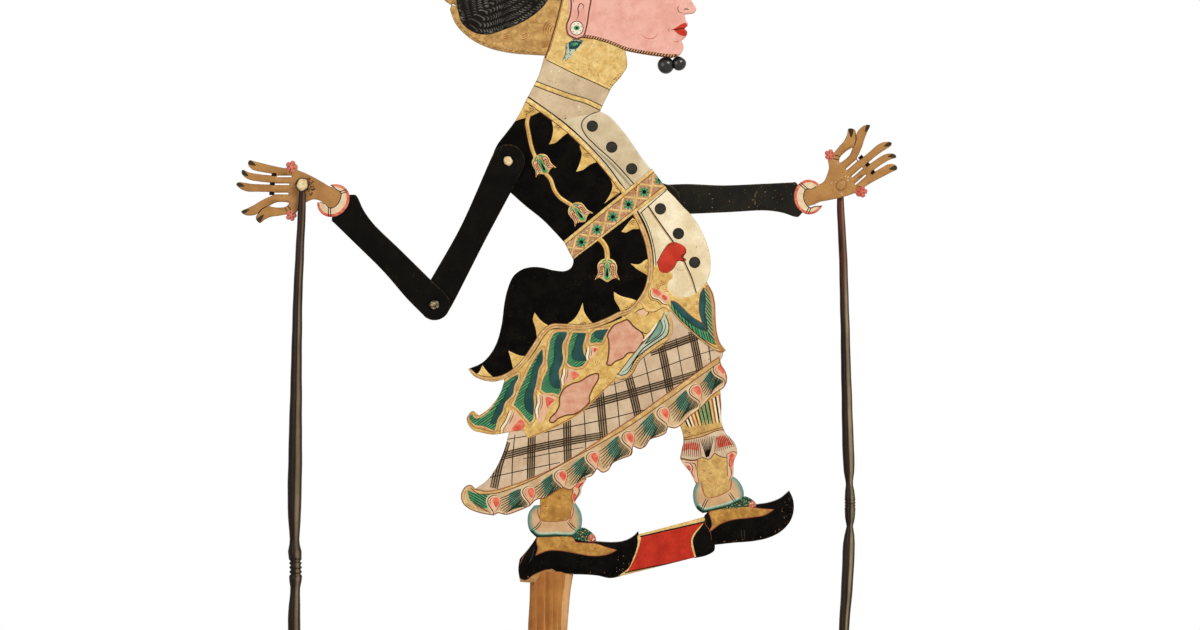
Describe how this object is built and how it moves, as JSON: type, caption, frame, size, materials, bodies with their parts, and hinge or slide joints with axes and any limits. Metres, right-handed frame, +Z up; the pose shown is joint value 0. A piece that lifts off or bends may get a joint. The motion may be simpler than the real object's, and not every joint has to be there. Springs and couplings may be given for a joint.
{
  "type": "flat wooden stick puppet",
  "caption": "Flat carved and painted wooden stick-puppet figure with a handle, jointed leather arms on bone rivets, and arm rods.",
  "frame": {"origin": "middle of the handle's grip, on the plank's middle plane", "axes": "+X towards the figure's front, +Z up along the handle to the head, +Y across the plank away from the near side"},
  "size_m": [0.3968, 0.044, 0.556],
  "materials": {
    "painted_wood": "carved wood with paint and gold leaf",
    "black_lacquer": "glossy black lacquer",
    "black_leather": "leather painted black, satin and worn",
    "painted_leather": "tan painted leather with a black sleeve",
    "bone": "polished bone",
    "horn": "dark polished horn"
  },
  "bodies": {
    "root": {"figure_plank": "painted_wood", "beard_tuft": "black_lacquer", "shoulder_pin": "bone", "shoulder_button_near": "bone", "shoulder_button_far": "bone"},
    "near_upper_arm": {"near_upper_arm": "black_leather", "near_elbow_pin": "bone", "near_elbow_button_outer": "bone", "near_elbow_button_inner": "bone"},
    "near_forearm": {"near_forearm_and_hand": "painted_leather", "near_hand_pin": "bone", "near_hand_button_outer": "bone", "near_hand_button_inner": "bone"},
    "near_rod": {"near_rod": "horn"},
    "far_upper_arm": {"far_upper_arm": "black_leather", "far_elbow_pin": "bone", "far_elbow_button_outer": "bone", "far_elbow_button_inner": "bone"},
    "far_forearm": {"far_forearm_and_hand": "painted_leather", "far_hand_pin": "bone", "far_hand_button_outer": "bone", "far_hand_button_inner": "bone"},
    "far_rod": {"far_rod": "horn"}
  },
  "joints": [
    {"name": "near_shoulder", "type": "hinge", "parent": "root", "child": "near_upper_arm", "pos_m": [-0.025, 0, 0.328], "axis": [0, -1, 0], "continuous": true},
    {"name": "near_elbow", "type": "hinge", "parent": "near_upper_arm", "child": "near_forearm", "pos_m": [-0.06905, 0, 0.24192], "axis": [0, -1, 0], "range_deg": [-54.8, 265.2]},
    {"name": "near_rod_swivel", "type": "hinge", "parent": "near_forearm", "child": "near_rod", "pos_m": [-0.1479, 0, 0.31366], "axis": [0, -1, 0], "continuous": true},
    {"name": "far_shoulder", "type": "hinge", "parent": "root", "child": "far_upper_arm", "pos_m": [-0.025, 0, 0.328], "axis": [0, -1, 0], "continuous": true},
    {"name": "far_elbow", "type": "hinge", "parent": "far_upper_arm", "child": "far_forearm", "pos_m": [0.06895, 0, 0.3051], "axis": [0, -1, 0], "range_deg": [-178.4, 141.6]},
    {"name": "far_rod_swivel", "type": "hinge", "parent": "far_forearm", "child": "far_rod", "pos_m": [0.17519, 0, 0.31383], "axis": [0, -1, 0], "continuous": true}
  ]
}
